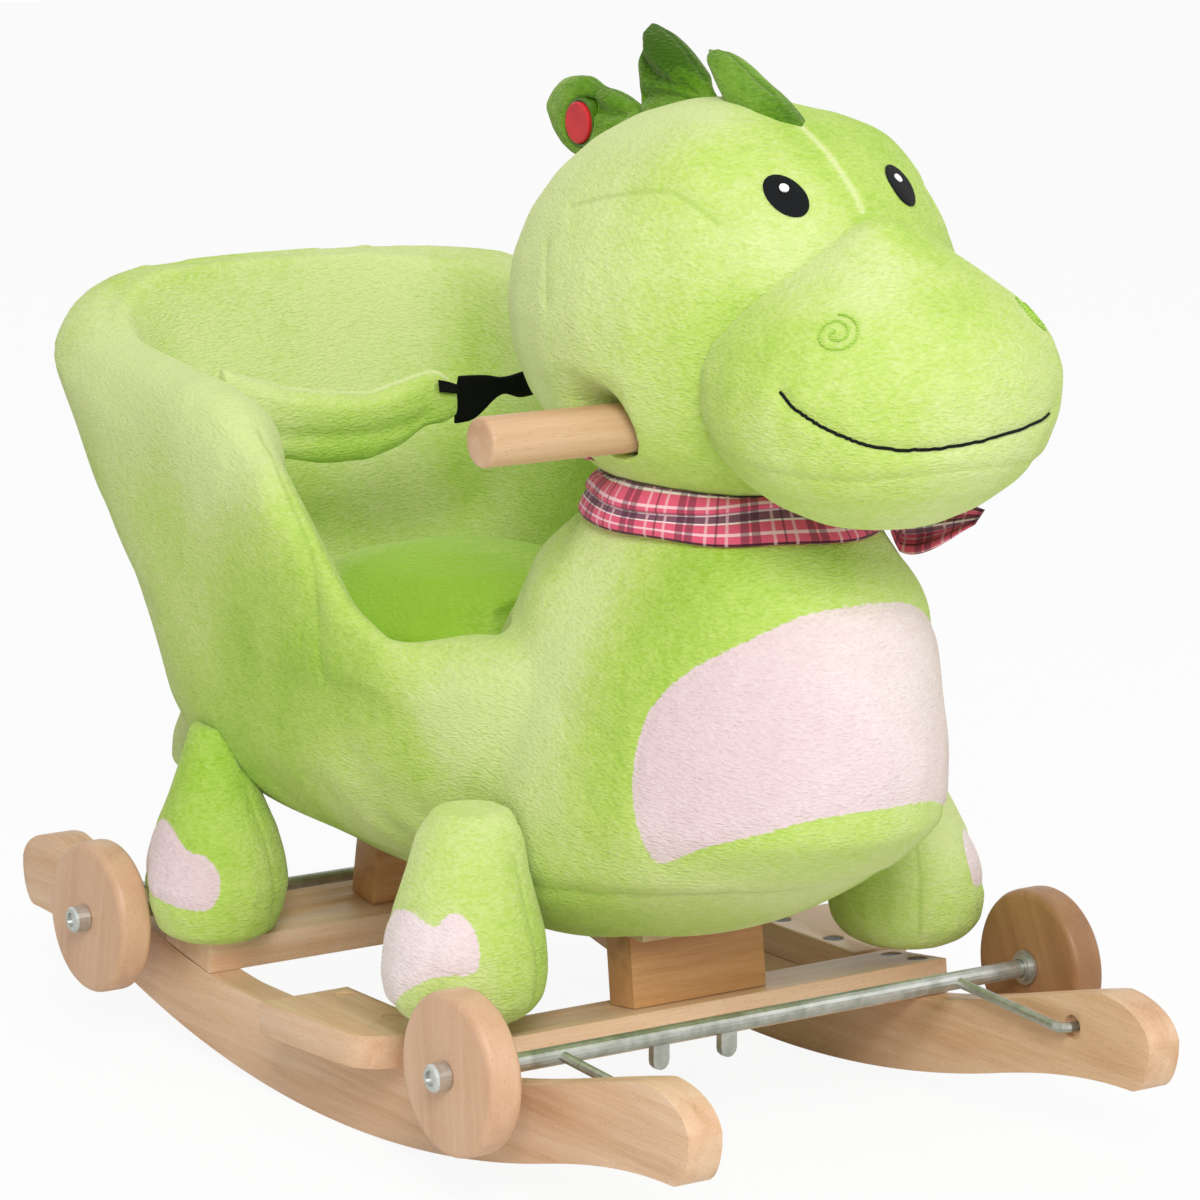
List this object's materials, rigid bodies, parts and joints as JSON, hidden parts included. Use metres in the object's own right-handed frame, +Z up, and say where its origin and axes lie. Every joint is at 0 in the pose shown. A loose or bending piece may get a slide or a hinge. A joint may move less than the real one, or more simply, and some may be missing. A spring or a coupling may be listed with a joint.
{
  "type": "plush animal rocker ride-on",
  "caption": "Plush dinosaur ride-on with a padded tub seat and a head with a wooden grab bar, on two wooden rockers with wheels on axles that swing under them.",
  "frame": {"origin": "on the floor under the middle of the toy's overall length and width", "axes": "+Y runs from the animal's snout to its tail, so it faces -Y; +X is its left; +Z is up"},
  "size_m": [0.369, 0.7, 0.5225],
  "materials": {
    "belt_pad": "light green short-pile plush",
    "belt_strap": "black woven webbing",
    "body_plush": "light green short-pile plush",
    "footrest_left": "clear lacquered beech",
    "footrest_right": "clear lacquered beech",
    "footrest_screw_left_front": "dark countersunk screw",
    "footrest_screw_left_rear": "dark countersunk screw",
    "footrest_screw_right_front": "dark countersunk screw",
    "footrest_screw_right_rear": "dark countersunk screw",
    "front_axle_frame": "zinc plated steel",
    "front_block": "clear lacquered beech",
    "front_bolt_left": "dark countersunk screw",
    "front_bolt_right": "dark countersunk screw",
    "front_hub_cap_left": "bright plated cap",
    "front_hub_cap_right": "bright plated cap",
    "front_leg_left": "light green short-pile plush",
    "front_leg_right": "light green short-pile plush",
    "front_plank": "clear lacquered beech",
    "front_screw_left_front": "dark countersunk screw",
    "front_screw_left_rear": "dark countersunk screw",
    "front_screw_right_front": "dark countersunk screw",
    "front_screw_right_rear": "dark countersunk screw",
    "front_washer_left": "zinc plated steel",
    "front_washer_right": "zinc plated steel",
    "front_wheel_left": "smooth lacquered beech",
    "front_wheel_right": "smooth lacquered beech",
    "handle_dowel": "smooth lacquered beech",
    "head_plush": "light green short-pile plush",
    "neck_post": "raw plywood",
    "rear_axle_frame": "zinc plated steel",
    "rear_block": "clear lacquered beech",
    "rear_bolt_left": "dark countersunk screw",
    "rear_bolt_right": "dark countersunk screw",
    "rear_hub_cap_left": "bright plated cap",
    "rear_hub_cap_right": "bright plated cap",
    "rear_leg_left": "light green short-pile plush",
    "rear_leg_right": "light green short-pile plush",
    "rear_plank": "clear lacquered beech",
    "rear_screw_left_front": "dark countersunk screw",
    "rear_screw_left_rear": "dark countersunk screw",
    "rear_screw_right_front": "dark countersunk screw",
    "rear_screw_right_rear": "dark countersunk screw",
    "rear_washer_left": "zinc plated steel",
    "rear_washer_right": "zinc plated steel",
    "rear_wheel_left": "smooth lacquered beech",
    "rear_wheel_right": "smooth lacquered beech",
    "rocker_left": "clear lacquered beech",
    "rocker_right": "clear lacquered beech",
    "scarf_band": "checked woven cotton",
    "scarf_knot": "checked woven cotton",
    "seat_board": "raw plywood",
    "seat_cushion": "light green short-pile plush",
    "snout_plush": "light green short-pile plush",
    "sound_button": "red cover of the push button",
    "sound_module": "white moulded cup",
    "spike_front": "dark green plush",
    "spike_middle": "dark green plush",
    "spike_rear": "dark green plush",
    "tail_plush": "light green short-pile plush"
  },
  "bodies": {
    "base": {"belt_pad": "belt_pad", "belt_strap": "belt_strap", "body_plush": "body_plush", "footrest_left": "footrest_left", "footrest_right": "footrest_right", "footrest_screw_left_front": "footrest_screw_left_front", "footrest_screw_left_rear": "footrest_screw_left_rear", "footrest_screw_right_front": "footrest_screw_right_front", "footrest_screw_right_rear": "footrest_screw_right_rear", "front_block": "front_block", "front_bolt_left": "front_bolt_left", "front_bolt_right": "front_bolt_right", "front_leg_left": "front_leg_left", "front_leg_right": "front_leg_right", "front_plank": "front_plank", "front_screw_left_front": "front_screw_left_front", "front_screw_left_rear": "front_screw_left_rear", "front_screw_right_front": "front_screw_right_front", "front_screw_right_rear": "front_screw_right_rear", "handle_dowel": "handle_dowel", "head_plush": "head_plush", "neck_post": "neck_post", "rear_block": "rear_block", "rear_bolt_left": "rear_bolt_left", "rear_bolt_right": "rear_bolt_right", "rear_leg_left": "rear_leg_left", "rear_leg_right": "rear_leg_right", "rear_plank": "rear_plank", "rear_screw_left_front": "rear_screw_left_front", "rear_screw_left_rear": "rear_screw_left_rear", "rear_screw_right_front": "rear_screw_right_front", "rear_screw_right_rear": "rear_screw_right_rear", "rocker_left": "rocker_left", "rocker_right": "rocker_right", "scarf_band": "scarf_band", "scarf_knot": "scarf_knot", "seat_board": "seat_board", "seat_cushion": "seat_cushion", "snout_plush": "snout_plush", "sound_module": "sound_module", "spike_front": "spike_front", "spike_middle": "spike_middle", "spike_rear": "spike_rear", "tail_plush": "tail_plush"},
    "front_axle": {"front_axle_frame": "front_axle_frame", "front_washer_left": "front_washer_left", "front_washer_right": "front_washer_right", "front_hub_cap_left": "front_hub_cap_left", "front_hub_cap_right": "front_hub_cap_right"},
    "front_wheel_left_body": {"front_wheel_left": "front_wheel_left"},
    "front_wheel_right_body": {"front_wheel_right": "front_wheel_right"},
    "rear_axle": {"rear_axle_frame": "rear_axle_frame", "rear_washer_left": "rear_washer_left", "rear_washer_right": "rear_washer_right", "rear_hub_cap_left": "rear_hub_cap_left", "rear_hub_cap_right": "rear_hub_cap_right"},
    "rear_wheel_left_body": {"rear_wheel_left": "rear_wheel_left"},
    "rear_wheel_right_body": {"rear_wheel_right": "rear_wheel_right"},
    "button": {"sound_button": "sound_button"}
  },
  "joints": [
    {"name": "front_axle_swing", "type": "hinge", "parent": "base", "child": "front_axle", "pos_m": [0, -0.271, 0.062], "axis": [1, 0, 0], "range_deg": [0, 323]},
    {"name": "front_wheel_left_spin", "type": "hinge", "parent": "front_axle", "child": "front_wheel_left_body", "pos_m": [0.16745, -0.1908, 0.0669], "axis": [1, 0, 0], "continuous": true},
    {"name": "front_wheel_right_spin", "type": "hinge", "parent": "front_axle", "child": "front_wheel_right_body", "pos_m": [-0.16745, -0.1908, 0.0669], "axis": [1, 0, 0], "continuous": true},
    {"name": "rear_axle_swing", "type": "hinge", "parent": "base", "child": "rear_axle", "pos_m": [0, 0.221, 0.062], "axis": [-1, 0, 0], "range_deg": [0, 323]},
    {"name": "rear_wheel_left_spin", "type": "hinge", "parent": "rear_axle", "child": "rear_wheel_left_body", "pos_m": [0.16745, 0.1408, 0.0669], "axis": [1, 0, 0], "continuous": true},
    {"name": "rear_wheel_right_spin", "type": "hinge", "parent": "rear_axle", "child": "rear_wheel_right_body", "pos_m": [-0.16745, 0.1408, 0.0669], "axis": [1, 0, 0], "continuous": true},
    {"name": "sound_button_press", "type": "slide", "parent": "base", "child": "button", "axis": [1, 0, 0], "range_m": [0, 0.0015], "stiffness_N_per_m": 400}
  ]
}
